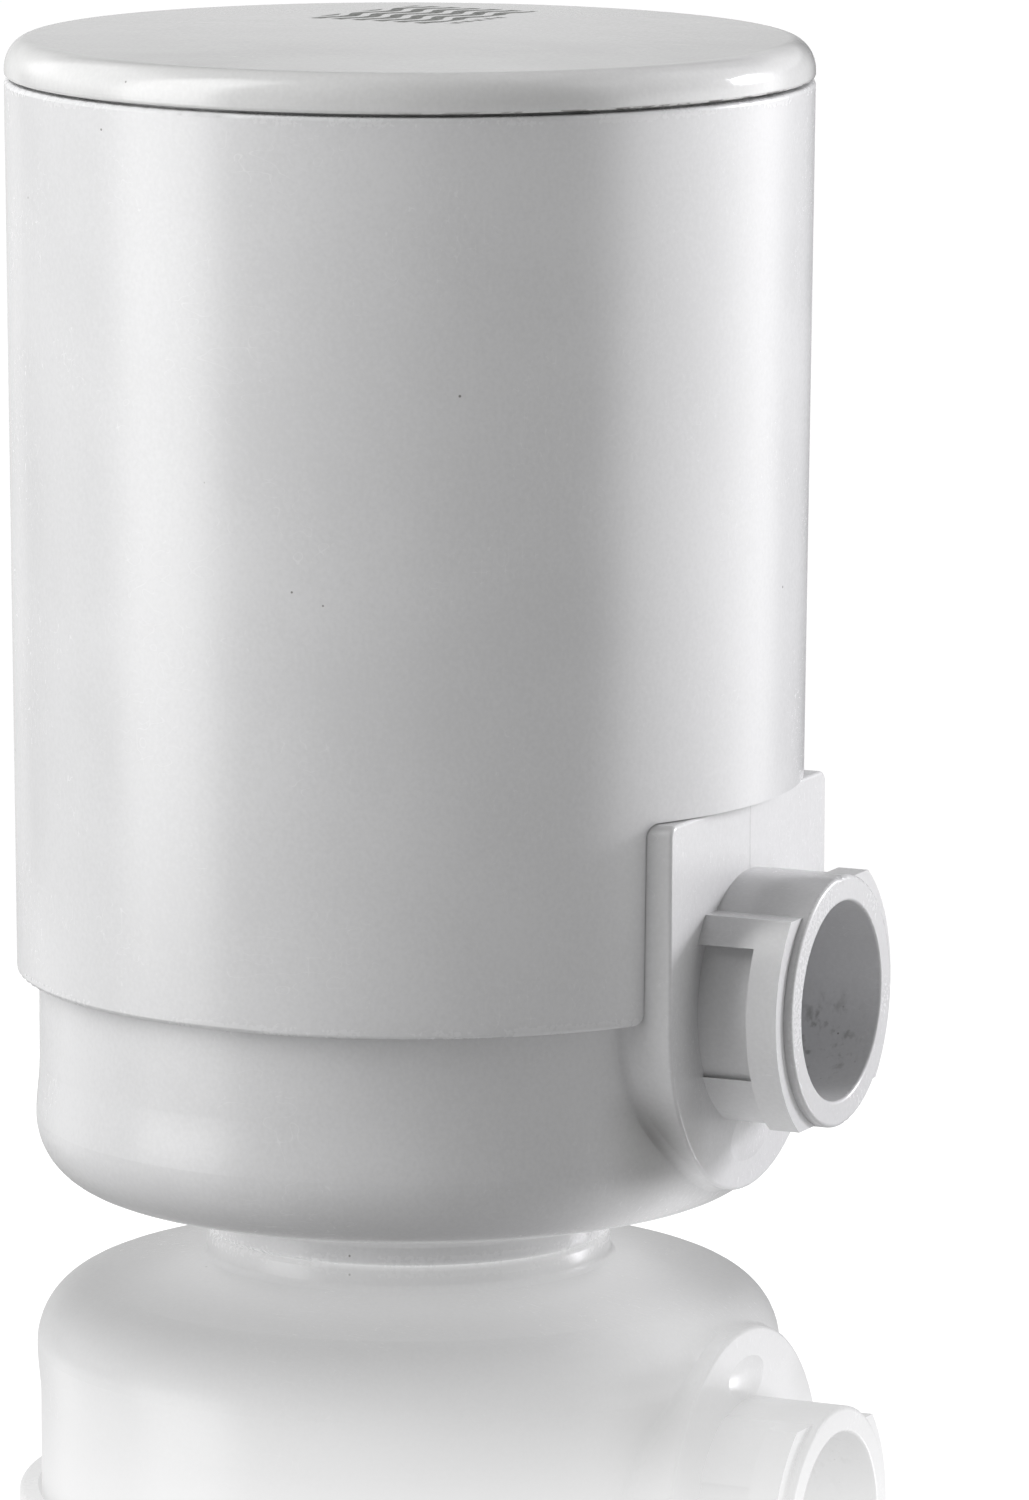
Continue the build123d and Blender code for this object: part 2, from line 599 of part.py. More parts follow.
with BuildPart() as seat:
    add(turned_on_port(
        (SEAT_BACK_X, SEAT_R), (SEAT_GROOVE_X - SEAT_GROOVE_HALF, SEAT_R),
        (SEAT_GROOVE_X - SEAT_GROOVE_HALF, SEAT_R - SEAT_GROOVE_DEPTH),
        (SEAT_GROOVE_X + SEAT_GROOVE_HALF, SEAT_R - SEAT_GROOVE_DEPTH),
        (SEAT_GROOVE_X + SEAT_GROOVE_HALF, SEAT_R), (SPIGOT_BORE_END_X, SEAT_R),
        (SPIGOT_BORE_END_X, STRAINER_R + FIT), (SPIGOT_BORE_END_X - STRAINER_T, STRAINER_R + FIT),
        (SPIGOT_BORE_END_X - STRAINER_T, SEAT_BORE_R), (SEAT_BACK_X, SEAT_BORE_R),
        (SEAT_BACK_X, SEAT_LIP_BORE_R), (SEAT_LIP_X, SEAT_LIP_BORE_R),
        (SEAT_LIP_X, SEAT_LIP_R), (SEAT_BACK_X, SEAT_LIP_R),
    ))
save(seat, "valve_seat")

seat_ring = o_ring(
    PORT.offset(SEAT_GROOVE_X), VALVE_SOCKET_R - SEAT_RING_SECTION_R, SEAT_RING_SECTION_R
)
save(seat_ring, "valve_seat_o_ring")

with BuildPart() as strainer:
    with BuildSketch(PORT.offset(SPIGOT_BORE_END_X - STRAINER_T)):
        Circle(STRAINER_R)
        Circle(STRAINER_HOLE_R, mode=Mode.SUBTRACT)
        for ring_r, count in hole_rings(STRAINER_RING_PITCH, STRAINER_RINGS):
            with PolarLocations(ring_r, count):
                Circle(STRAINER_HOLE_R, mode=Mode.SUBTRACT)
    extrude(amount=STRAINER_T)
save(strainer, "inlet_strainer")

with BuildPart() as poppet:
    add(turned_on_port(
        (STEM_END_X, 0), (STEM_END_X, STEM_R), (POPPET_BACK_X - SPRING_BOSS_T, STEM_R),
        (POPPET_BACK_X - SPRING_BOSS_T, SPRING_BOSS_R), (POPPET_BACK_X, SPRING_BOSS_R),
        (POPPET_BACK_X, POPPET_R), (SEAL_BACK_X, POPPET_R), (SEAL_BACK_X, SEAL_BORE_R - FIT),
        (SEAL_BACK_X + NOSE_LENGTH, SEAL_BORE_R - FIT), (SEAL_BACK_X + NOSE_LENGTH, 0),
    ))
save(poppet, "valve_poppet")

with BuildPart() as seal:
    with BuildSketch(PORT.offset(SEAL_BACK_X)):
        Circle(SEAL_R)
        Circle(SEAL_BORE_R, mode=Mode.SUBTRACT)
    extrude(amount=SEAL_T)
save(seal, "valve_seal")

with BuildPart() as cage:
    add(turned_on_port(
        (CAGE_END_X, CAGE_GUIDE_R), (CAGE_END_X, CAGE_R), (SEAT_BACK_X, CAGE_R),
        (SEAT_BACK_X, CAGE_BORE_R), (CAGE_END_X + CAGE_FLOOR_T, CAGE_BORE_R),
        (CAGE_END_X + CAGE_FLOOR_T, CAGE_HUB_R), (CAGE_HUB_END_X, CAGE_HUB_R),
        (CAGE_HUB_END_X, CAGE_GUIDE_R),
    ))
    with BuildSketch(PORT.offset(CAGE_END_X)):
        with PolarLocations(CAGE_HOLE_RING_R, CAGE_WINDOWS):
            Circle(CAGE_HOLE_R)
    extrude(amount=CAGE_FLOOR_T, mode=Mode.SUBTRACT)
    with BuildSketch(PORT.offset(CAGE_WINDOW_START_X)):
        with PolarLocations(CAGE_R, CAGE_WINDOWS):
            Rectangle(4 * (CAGE_R - CAGE_BORE_R), CAGE_WINDOW_W)
    extrude(amount=CAGE_WINDOW_END_X - CAGE_WINDOW_START_X, mode=Mode.SUBTRACT)
save(cage, "valve_cage")

SPRING_START_X = CAGE_END_X + CAGE_FLOOR_T + SPRING_WIRE_R
SPRING_LENGTH = POPPET_BACK_X - SPRING_WIRE_R - SPRING_START_X
with BuildPart() as spring:
    with BuildLine() as coil:
        Helix(
            SPRING_LENGTH / SPRING_TURNS, SPRING_LENGTH, SPRING_R,
            center=(SPRING_START_X, 0, PORT_Z), direction=(1, 0, 0),
        )
    with BuildSketch(Plane(origin=coil.line @ 0, z_dir=coil.line % 0)):
        Circle(SPRING_WIRE_R)
    sweep(path=coil.line)
save(spring, "valve_spring")
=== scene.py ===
import json
from math import cos, pi, radians, sin
import bpy
from mathutils import Matrix, Vector


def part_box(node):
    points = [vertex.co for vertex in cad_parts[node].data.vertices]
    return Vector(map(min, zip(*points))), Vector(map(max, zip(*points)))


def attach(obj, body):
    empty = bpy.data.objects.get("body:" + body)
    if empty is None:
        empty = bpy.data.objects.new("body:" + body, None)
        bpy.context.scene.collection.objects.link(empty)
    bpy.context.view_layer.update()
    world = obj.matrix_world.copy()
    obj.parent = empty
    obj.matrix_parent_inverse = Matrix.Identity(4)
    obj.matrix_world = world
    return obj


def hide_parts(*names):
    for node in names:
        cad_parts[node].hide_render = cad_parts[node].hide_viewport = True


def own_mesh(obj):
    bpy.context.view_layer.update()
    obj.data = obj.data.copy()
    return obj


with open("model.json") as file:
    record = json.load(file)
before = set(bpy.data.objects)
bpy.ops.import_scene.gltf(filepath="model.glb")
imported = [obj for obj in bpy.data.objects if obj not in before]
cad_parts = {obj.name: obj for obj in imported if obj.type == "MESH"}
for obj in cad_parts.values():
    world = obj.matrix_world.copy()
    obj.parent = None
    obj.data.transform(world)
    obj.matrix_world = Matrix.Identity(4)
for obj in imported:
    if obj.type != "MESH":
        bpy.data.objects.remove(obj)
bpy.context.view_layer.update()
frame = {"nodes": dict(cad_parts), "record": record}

# ---- Driving values: metres, and degrees for angles --------------------------------------------
MM = 0.001
CAMERA_AZIMUTH = 25.5        # the inlet port points right and towards the camera
CAMERA_DISTANCE = 0.8011     # from the body's axis, level with the camera
CAMERA_HEIGHT = 0.1723
CAMERA_YAW = 0.0108          # radians, as are the next two; it looks a little right of the axis
CAMERA_PITCH = 0.1639
CAMERA_ROLL = 0.0029
CAMERA_LENS = 237.0          # millimetres
CAMERA_SENSOR = 36.0         # millimetres, for the picture's longer side

FLOOR_HALF = 6.0
FLOOR_Z = -0.02 * MM
TABLE_R = 0.16
TABLE_END_R = 1.2 * TABLE_R
FOOT_R = 17 * MM             # the foot's edge, where the mirror and the glow are strongest
# What the camera sees of the floor: a mirror that fades into plain white towards TABLE_R
FLOOR_WHITE = 1.02
WHITE_AT_FOOT = 0.25
MIRROR_GREY = 0.8
# What all other rays meet: a small pale table that glows under the body
TABLE_GREY = 0.5
TABLE_ROUGHNESS = 0.12
FOOT_GLOW = 0.6
FOOT_GLOW_R = 30 * MM
PORT_GLOW = 0.9              # round a spot on the table beside the inlet port
PORT_GLOW_RIGHT = 52
PORT_GLOW_R = 19 * MM

# Softboxes round the table: (degrees right of the camera, half width, lowest and highest
# elevation, softness of the edges, strength)
SOFTBOXES = (
    (-74, 9, -35, 55, 15, 3.7),
    (-40, 25, -10, 60, 25, 0.33),
    (-100, 35, 10, 40, 15, 1.3),
    (-100, 70, 45, 75, 15, 0.5),
    (-165, 15, -40, 5, 10, 0.65),
    (20, 20, -45, -5, 15, 0.5),
    (95, 25, -40, 45, 20, 1.1),
    (95, 25, -40, 0, 15, 1.4),
    (130, 20, -20, 45, 15, 0.25),
    (0, 180, 72, 90, 8, 0.35),
    (180, 50, 11, 24, 3, 0.5),
)
# The key light, a rectangle that faces the inlet port's axis
KEY_WATTS = 10.0
KEY_TINT = (0.97, 0.96, 1.0)
KEY_SIZE = (0.22, 0.26)
KEY_DISTANCE = 1.2
KEY_RIGHT = 113
KEY_ELEVATION = 17

# Places on the body, from the frame
SEAT_LOW, SEAT_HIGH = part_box("valve_seat")
SLEEVE_LOW, SLEEVE_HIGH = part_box("outer_sleeve")
CAP_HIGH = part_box("top_cap")[1]
PORT_Z = (SEAT_LOW.z + SEAT_HIGH.z) / 2
PORT_R = (SEAT_HIGH.z - SEAT_LOW.z) / 2
PORT_FACE_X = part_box("housing_body")[1].x

# Shells: a size is that of the noise's blobs, and dullness is added to the roughness
HOUSING_TINT = (0.645, 0.645, 0.65)
SLEEVE_TINT = (0.648, 0.648, 0.653)
CAP_TINT = (0.64, 0.64, 0.637)
TINT_RANGE = (0.96, 1.03)
SHELL_ROUGHNESS = (0.20, 0.27)
CAP_GLOSS = 0.14             # taken off the roughness of the cap
CLOUD_SIZE = 14 * MM
GRAIN_SIZE = 0.35 * MM
GRAIN_DEPTH = 0.0015 * MM
WAVINESS_SIZE = 4 * MM
WAVINESS_DEPTH = 0.006 * MM
HAIRLINE_SIZE = 1.1 * MM
HAIRLINE_STRETCH = (0.35, 3, 0.9)
HAIRLINE_WIDTH = 0.008       # in the noise's own units
SCUFF_SIZE = 9 * MM
SCUFF_DULLNESS = 0.12
DUST_CELL = 2.5 * MM
DUST_SHARE = 0.07            # of the cells hold a speck
DUST_R = 0.14 * MM
WEAR_SIZE = 5 * MM
WEAR_DULLNESS = 0.06
RIM_WIDTH = 1.0 * MM
FOOT_RIM_WIDTH = 1.2 * MM
PORT_RIM_WIDTH = 0.5 * MM
CAP_RIM_WIDTH = 1.5 * MM
CAP_RIM_Z = CAP_HIGH.z - 1.6 * MM
# Dark colour for dust, grime and mould lines, and for the painted shade in the plate's corners and
# along the cap's seam
DIRT_AND_SHADE = (0.10, 0.095, 0.085, 1)

# Grime in the bore, behind its face, to the side away from the camera and below its axis
GRIME_PLACE = Vector((PORT_FACE_X - 5.0 * MM, 0.68 * PORT_R, PORT_Z - 0.52 * PORT_R))
GRIME_R = 5.5 * MM
GRIME_CORE_R = 1.5 * MM
SMEAR_SIZE = 0.9 * MM
FLECK_CELL = 0.8 * MM
FLECK_SHARE = 0.5
FLECK_R = 0.12 * MM
# Painted shade where the plate grows out of the cup, darkening the colour where the plate's shadow
# falls: forwards, to each side, and above the floor
PLATE_SHADE_FORWARDS = 27.4 * MM
PLATE_SHADE_SIDEWAYS = 12.8 * MM
PLATE_SHADE_UP = 12 * MM
PLATE_SHADE_R = 6.5 * MM
# The mould's parting line
LINE_WIDTH = 0.1 * MM
LINE_DEPTH = 0.02 * MM
PLATE_FRONT = SLEEVE_HIGH.x - 3 * MM
# Painted shade in dashes along the cap's lower edge, above the open seam, where the seam's shadow
# falls
SEAM_Z = SLEEVE_HIGH.z + 0.24 * MM
SEAM_SHADE_WIDTH = 0.24 * MM
SEAM_DASH_SIZE = 1.6 * MM

# The cap's print
INK = (0.055, 0.06, 0.05, 1)
INK_COVER = 0.95
INK_DULLNESS = 0.5
CROWN_Z = CAP_HIGH.z - 1.5 * MM
PRINT_LENGTH = 17 * MM
PRINT_WIDTH = 12 * MM
PRINT_TURN = 58              # its long side, from the view's right
PRINT_SIDE = 1.0 * MM        # its middle, right of the axis and behind it
PRINT_BACK = 15.9 * MM
WAVE_LENGTH = 6.5 * MM
WAVE_RISE = 0.55 * MM
WAVE_PITCH = 2.0 * MM
DASH_PITCH = 1.7 * MM
DASH_WIDTH = 0.8 * MM
DASH_GAP = 1.3 * MM          # from the panel's side to the middle of the row
PRINT_EDGE = 0.06 * MM       # how softly the ink ends

# Inner materials: the darkest and the palest colour of each
INNER_COLOURS = {
    "natural_plastic": ((0.70, 0.69, 0.63, 1), (0.80, 0.79, 0.75, 1)),
    "grey_plastic": ((0.46, 0.47, 0.49, 1), (0.56, 0.57, 0.59, 1)),
    "seal_rubber": ((0.018, 0.018, 0.019, 1), (0.055, 0.055, 0.056, 1)),
    "pressed_carbon": ((0.010, 0.010, 0.011, 1), (0.045, 0.045, 0.048, 1)),
    "fleece": ((0.66, 0.66, 0.62, 1), (0.86, 0.86, 0.83, 1)),
    "hollow_fibre": ((0.74, 0.72, 0.65, 1), (0.88, 0.87, 0.82, 1)),
    "potting_resin": ((0.42, 0.24, 0.07, 1), (0.68, 0.45, 0.18, 1)),
    "spring_steel": ((0.46, 0.45, 0.43, 1), (0.66, 0.66, 0.67, 1)),
}
PLASTIC_SPECK = (0.35, 0.31, 0.25, 1)
CARBON_DUST = (0.07, 0.07, 0.072, 1)
RESIN_BUBBLE = (0.86, 0.74, 0.52, 1)


def direction(right_of_camera, elevation):
    """The unit vector at an angle to the right of the camera's side and above the floor."""
    azimuth = radians(CAMERA_AZIMUTH + right_of_camera)
    rise = radians(elevation)
    return Vector((sin(azimuth) * cos(rise), -cos(azimuth) * cos(rise), sin(rise)))


# ---- Node trees --------------------------------------------------------------------------------
class Tree:
    """Short calls for the nodes of one material or world."""

    def __init__(self, node_tree, coords):
        self.nodes = node_tree.nodes
        self.links = node_tree.links
        self.place = self.put("TexCoord").outputs[coords]

    def put(self, kind, **settings):
        node = self.nodes.new("ShaderNode" + kind)
        for name, value in settings.items():
            setattr(node, name, value)
        return node

    def feed(self, socket, value):
        """Links a socket to another node's output, or sets it to a plain value."""
        if isinstance(value, bpy.types.NodeSocket):
            self.links.new(value, socket)
        else:
            socket.default_value = value

    def math(self, operation, *values):
        node = self.put("Math", operation=operation)
        for socket, value in zip(node.inputs, values):
            self.feed(socket, value)
        return node.outputs["Value"]

    def along(self, axis, start=0.0):
        """The place's distance along an axis, past a start."""
        node = self.put("VectorMath", operation="DOT_PRODUCT")
        self.feed(node.inputs[0], self.place)
        self.feed(node.inputs[1], axis)
        return self.math("SUBTRACT", node.outputs["Value"], start)

    def away_from(self, centre):
        node = self.put("VectorMath", operation="DISTANCE")
        self.feed(node.inputs[0], self.place)
        self.feed(node.inputs[1], centre)
        return node.outputs["Value"]

    def step(self, value, low, high, at_low=0.0, at_high=1.0):
        """A smooth step of a value between two limits, from one result to the other."""
        node = self.put("MapRange", interpolation_type="SMOOTHSTEP")
        for name, number in zip(("Value", "From Min", "From Max", "To Min", "To Max"),
                                (value, low, high, at_low, at_high)):
            self.feed(node.inputs[name], number)
        return node.outputs["Result"]

    def band(self, value, middle, half_width, soft):
        """1 near the middle, falling to 0 beyond the half width."""
        off = self.math("ABSOLUTE", self.math("SUBTRACT", value, middle))
        return self.step(off, half_width + soft, half_width)

    def mix_shaders(self, share, first, second):
        node = self.put("MixShader")
        for socket, value in zip(node.inputs, (share, first, second)):
            self.feed(socket, value)
        return node.outputs[0]


class Paint(Tree):
    """One piece's material, in the frame's own coordinates."""

    def __init__(self, name):
        self.material = bpy.data.materials.new(name)
        self.material.use_nodes = True
        super().__init__(self.material.node_tree, "Object")
        self.shader = self.nodes["Principled BSDF"]
        self.normal = None
        self.colours = INNER_COLOURS.get(name)

    def stretched(self, stretch):
        node = self.put("Mapping")
        self.feed(node.inputs["Vector"], self.place)
        self.feed(node.inputs["Scale"], stretch)
        return node.outputs["Vector"]

    def noise(self, size, detail=2.0, stretch=(1, 1, 1)):
        """Cloudy noise round 0.5, with blobs about this size."""
        node = self.put("TexNoise")
        self.feed(node.inputs["Vector"], self.stretched(stretch))
        self.feed(node.inputs["Scale"], 1 / size)
        self.feed(node.inputs["Detail"], detail)
        return node.outputs["Fac"]

    def grains(self, size, stretch=(1, 1, 1)):
        """Random cells of this size: the distance from each one's centre, and its own number."""
        node = self.put("TexVoronoi")
        self.feed(node.inputs["Vector"], self.stretched(stretch))
        self.feed(node.inputs["Scale"], 1 / size)
        split = self.put("SeparateColor")
        self.links.new(node.outputs["Color"], split.inputs["Color"])
        return node.outputs["Distance"], split.outputs["Red"]

    def specks(self, size, share, radius):
        """Round dots of this radius in a share of random cells of this size."""
        distance, number = self.grains(size)
        dot = self.step(distance, radius / size, radius / size / 2)
        return self.math("MULTIPLY", dot, self.math("LESS_THAN", number, share))

    def blend(self, share, first, second):
        node = self.put("MixRGB")
        for socket, value in zip(node.inputs, (share, first, second)):
            self.feed(socket, value)
        return node.outputs["Color"]

    def vary(self, low, high, *shares):
        """A number between two limits, by the mean of some noises."""
        total = 0.0
        for share in shares:
            total = self.math("ADD", share, total)
        return self.step(total, 0.3 * len(shares), 0.7 * len(shares), low, high)

    def bump(self, height, depth):
        node = self.put("Bump")
        self.feed(node.inputs["Strength"], 1.0)
        self.feed(node.inputs["Distance"], depth)
        self.feed(node.inputs["Height"], height)
        if self.normal:
            self.links.new(self.normal, node.inputs["Normal"])
        self.normal = node.outputs["Normal"]

    def finish(self, colour, roughness, **settings):
        self.feed(self.shader.inputs["Base Color"], colour)
        self.feed(self.shader.inputs["Roughness"], roughness)
        for name, value in settings.items():
            self.feed(self.shader.inputs[name.replace("_", " ")], value)
        if self.normal:
            self.links.new(self.normal, self.shader.inputs["Normal"])
        return self.material


def shade(tint, factor):
    return (*(factor * part for part in tint), 1)


# ---- Camera ------------------------------------------------------------------------------------
def make_camera():
    to_camera = direction(0, 0)
    right = direction(90, 0)
    up = Vector((0, 0, 1))
    level = right * sin(CAMERA_YAW) - to_camera * cos(CAMERA_YAW)
    forward = level * cos(CAMERA_PITCH) - up * sin(CAMERA_PITCH)
    side = (right * cos(CAMERA_YAW) + to_camera * sin(CAMERA_YAW)).normalized()
    above = side.cross(forward)
    camera_right = side * cos(CAMERA_ROLL) + above * sin(CAMERA_ROLL)
    camera_up = above * cos(CAMERA_ROLL) - side * sin(CAMERA_ROLL)
    place = to_camera * CAMERA_DISTANCE + up * CAMERA_HEIGHT
    data = bpy.data.cameras.new("camera")
    data.lens = CAMERA_LENS
    data.sensor_width = CAMERA_SENSOR
    data.clip_start = 0.01
    data.clip_end = 100
    camera = bpy.data.objects.new("camera", data)
    camera.matrix_world = Matrix((
        (camera_right.x, camera_up.x, -forward.x, place.x),
        (camera_right.y, camera_up.y, -forward.y, place.y),
        (camera_right.z, camera_up.z, -forward.z, place.z),
        (0, 0, 0, 1),
    ))
    bpy.context.scene.collection.objects.link(camera)
    bpy.context.scene.camera = camera


# ---- Light and floor ---------------------------------------------------------------------------
def softbox(sky, right, half_width, low, high, soft, strength):
    """The glow of one softbox in the direction of a ray."""
    turn = sky.math("ARCTAN2", sky.along(direction(right + 90, 0)), sky.along(direction(right, 0)))
    across = sky.band(turn, 0.0, radians(half_width), radians(soft))
    rise = sky.math("ARCSINE", sky.along((0, 0, 1)))
    upright = sky.band(rise, radians((low + high) / 2), radians((high - low) / 2), radians(soft))
    glow = sky.math("MULTIPLY", across, upright)
    return sky.math("MULTIPLY", glow, strength)


def make_world():
    """Softboxes for light and reflections; the camera sees plain white, also in the floor's mirror."""
    world = bpy.data.worlds.new("studio")
    bpy.context.scene.world = world
    world.use_nodes = True
    sky = Tree(world.node_tree, "Generated")
    path = sky.put("LightPath").outputs
    mirrored = sky.math("MULTIPLY", path["Is Singular Ray"], 1 / MIRROR_GREY)
    total = sky.math("MAXIMUM", path["Is Camera Ray"], mirrored)
    for box in SOFTBOXES:
        total = sky.math("ADD", softbox(sky, *box), total)
    background = sky.nodes["Background"]
    background.inputs["Color"].default_value = (1, 1, 1, 1)
    sky.feed(background.inputs["Strength"], total)


def make_key():
    data = bpy.data.lights.new("key", "AREA")
    data.shape = "RECTANGLE"
    data.size, data.size_y = KEY_SIZE
    data.energy = KEY_WATTS
    data.color = KEY_TINT
    key = bpy.data.objects.new("key", data)
    aim = direction(KEY_RIGHT, KEY_ELEVATION)
    key.location = Vector((0, 0, PORT_Z)) + aim * KEY_DISTANCE
    key.rotation_mode = "QUATERNION"
    key.rotation_quaternion = (-aim).to_track_quat("-Z", "Y")
    key.visible_camera = False
    bpy.context.scene.collection.objects.link(key)


def floor_material():
    """White to the camera, with a mirror gloss that fades outwards from the foot.

    To all other rays it is a small pale table, past whose edge the softboxes shine up."""
    paint = Paint("floor_white")
    radius = paint.away_from((0, 0, 0))
    white = paint.step(radius, FOOT_R, TABLE_R, WHITE_AT_FOOT, 1.0)
    mirror = paint.put("BsdfGlossy")
    paint.feed(mirror.inputs["Color"], (MIRROR_GREY, MIRROR_GREY, MIRROR_GREY, 1))
    paint.feed(mirror.inputs["Roughness"], 0.0)     # perfectly smooth, so that its rays are singular
    glow = paint.put("Emission")
    paint.feed(glow.inputs["Strength"], FLOOR_WHITE)
    seen = paint.mix_shaders(white, mirror.outputs[0], glow.outputs[0])
    round_foot = paint.step(radius, FOOT_R, FOOT_GLOW_R, FOOT_GLOW, 0.0)
    to_spot = paint.away_from(direction(PORT_GLOW_RIGHT, 0) * SLEEVE_HIGH.x)
    round_spot = paint.step(to_spot, 0.0, PORT_GLOW_R, PORT_GLOW, 0.0)
    paint.finish((TABLE_GREY, TABLE_GREY, TABLE_GREY, 1), TABLE_ROUGHNESS, Emission_Color=(1, 1, 1, 1),
                 Emission_Strength=paint.math("MAXIMUM", round_foot, round_spot))
    beyond = paint.step(radius, TABLE_R, TABLE_END_R)
    table = paint.mix_shaders(beyond, paint.shader.outputs[0], paint.put("BsdfTransparent").outputs[0])
    by_camera = paint.put("LightPath").outputs["Is Camera Ray"]
    surface = paint.mix_shaders(by_camera, table, seen)
    paint.links.new(surface, paint.nodes["Material Output"].inputs["Surface"])
    paint.material.cycles.emission_sampling = "NONE"
    return paint.material


def make_floor():
    mesh = bpy.data.meshes.new("floor")
    corners = [(-FLOOR_HALF, -FLOOR_HALF, 0), (FLOOR_HALF, -FLOOR_HALF, 0)]
    corners += [(FLOOR_HALF, FLOOR_HALF, 0), (-FLOOR_HALF, FLOOR_HALF, 0)]
    mesh.from_pydata(corners, [], [(0, 1, 2, 3)])
    mesh.materials.append(floor_material())
    floor = bpy.data.objects.new("floor", mesh)
    floor.location.z = FLOOR_Z
    bpy.context.scene.collection.objects.link(floor)


# ---- Shells: the glossy white mouldings ---------------------------------------------------------
class Shell(Paint):
    """Glossy white plastic: cloudy tint, fine grain, faint waviness, dust and hairline scuffs."""

    def __init__(self, name, tint, gloss=0.0):
        super().__init__(name)
        self.cloud = self.noise(CLOUD_SIZE, detail=3)
        self.grain = self.noise(GRAIN_SIZE)
        dark, pale = (shade(tint, factor) for factor in TINT_RANGE)
        self.colour = self.blend(self.vary(0.0, 1.0, self.cloud, self.grain), dark, pale)
        low, high = SHELL_ROUGHNESS
        self.roughness = self.vary(low - gloss, high - gloss, self.cloud, self.grain)
        self.bump(self.noise(WAVINESS_SIZE), WAVINESS_DEPTH)
        self.bump(self.grain, GRAIN_DEPTH)
        hairlines = self.noise(HAIRLINE_SIZE, detail=0, stretch=HAIRLINE_STRETCH)
        lines = self.band(hairlines, 0.5, HAIRLINE_WIDTH / 2, HAIRLINE_WIDTH / 2)
        scuffed = self.math("MULTIPLY", lines, self.step(self.noise(SCUFF_SIZE), 0.52, 0.64))
        self.dull(scuffed, SCUFF_DULLNESS)
        self.dirty_and_shade(self.specks(DUST_CELL, DUST_SHARE, DUST_R), 0.8)

    def dull(self, share, by):
        """Roughens the surface where the share is 1."""
        self.roughness = self.math("ADD", self.roughness, self.math("MULTIPLY", share, by))

    # Blends the colour towards dirt; also used for painted shade and for the cap's ink.
    def dirty_and_shade(self, share, strength, colour=DIRT_AND_SHADE):
        self.colour = self.blend(self.math("MULTIPLY", share, strength), self.colour, colour)

    def worn_rim(self, position, middle, width):
        """A rim that handling has dulled in patches."""
        patches = self.step(self.noise(WEAR_SIZE), 0.3, 0.7)
        rim = self.math("MULTIPLY", self.band(position, middle, width / 2, width / 2), patches)
        self.dull(rim, WEAR_DULLNESS)

    def done(self):
        return self.finish(self.colour, self.roughness)


def housing_plastic():
    """The cup: grime in its bore, painted shade in the corners beside the plate, and the mould's lines
    on the plate and the spigot.
    """
    shell = Shell("housing_white", HOUSING_TINT)
    height = shell.along((0, 0, 1))
    outwards = shell.along((1, 0, 0))
    across = shell.along((0, 1, 0))
    shell.worn_rim(height, 0.0, FOOT_RIM_WIDTH)
    shell.worn_rim(outwards, PORT_FACE_X, PORT_RIM_WIDTH)
    # Grime left by water on the bore's lower wall.
    near_grime = shell.step(shell.away_from(GRIME_PLACE), GRIME_R, GRIME_CORE_R)
    smears = shell.step(shell.noise(SMEAR_SIZE, detail=5, stretch=(1, 1, 0.6)), 0.5, 0.68)
    shell.dirty_and_shade(shell.math("MULTIPLY", near_grime, smears), 0.5)
    flecks = shell.specks(FLECK_CELL, FLECK_SHARE, FLECK_R)
    shell.dirty_and_shade(shell.math("MULTIPLY", near_grime, flecks), 0.75)
    # Painted shade below the sleeve's notch, in the corners where the plate grows out of the cup,
    # where the plate's shadow falls.
    for side in (-1, 1):
        corner = Vector((PLATE_SHADE_FORWARDS, side * PLATE_SHADE_SIDEWAYS, PLATE_SHADE_UP))
        shell.dirty_and_shade(shell.step(shell.away_from(corner), PLATE_SHADE_R, 0.0), 0.55)
    # Parting lines of the mould: down the plate's face and along the spigot's top.
    on_line = shell.band(across, 0.0, LINE_WIDTH / 2, 0.7 * LINE_WIDTH)
    above_port = shell.step(height, PORT_Z + PORT_R, PORT_Z + 1.1 * PORT_R)
    in_front = shell.step(outwards, PLATE_FRONT, PLATE_FRONT + 0.5 * MM)
    line = shell.math("MULTIPLY", shell.math("MULTIPLY", on_line, above_port), in_front)
    shell.dirty_and_shade(line, 0.12)
    shell.bump(line, LINE_DEPTH)
    return shell.done()


def sleeve_plastic():
    """The sleeve: plain, and worn at both rims."""
    shell = Shell("sleeve_white", SLEEVE_TINT)
    height = shell.along((0, 0, 1))
    shell.worn_rim(height, SLEEVE_LOW.z, RIM_WIDTH)
    shell.worn_rim(height, SLEEVE_HIGH.z, RIM_WIDTH)
    return shell.done()


def cap_plastic():
    """The cap: painted shade in dashes along its lower edge, and a plain printed panel on its crown.
    """
    shell = Shell("cap_white", CAP_TINT, CAP_GLOSS)
    height = shell.along((0, 0, 1))
    shell.worn_rim(height, CAP_RIM_Z, CAP_RIM_WIDTH)
    # Painted shade: dark dashes above the seam, towards the right, standing in for the seam's shadow.
    dashes = shell.step(shell.noise(SEAM_DASH_SIZE, detail=3, stretch=(1, 1, 3)), 0.47, 0.56)
    to_right = shell.step(shell.along(direction(90, 0)), -0.4 * CAP_HIGH.x, 0.7 * CAP_HIGH.x)
    seam = shell.band(height, SEAM_Z, SEAM_SHADE_WIDTH / 2, SEAM_SHADE_WIDTH / 2)
    shell.dirty_and_shade(shell.math("MULTIPLY", shell.math("MULTIPLY", seam, dashes), to_right), 0.8)
    printed = cap_print(shell, height)
    shell.dirty_and_shade(printed, INK_COVER, INK)
    shell.dull(printed, INK_DULLNESS)
    return shell.done()


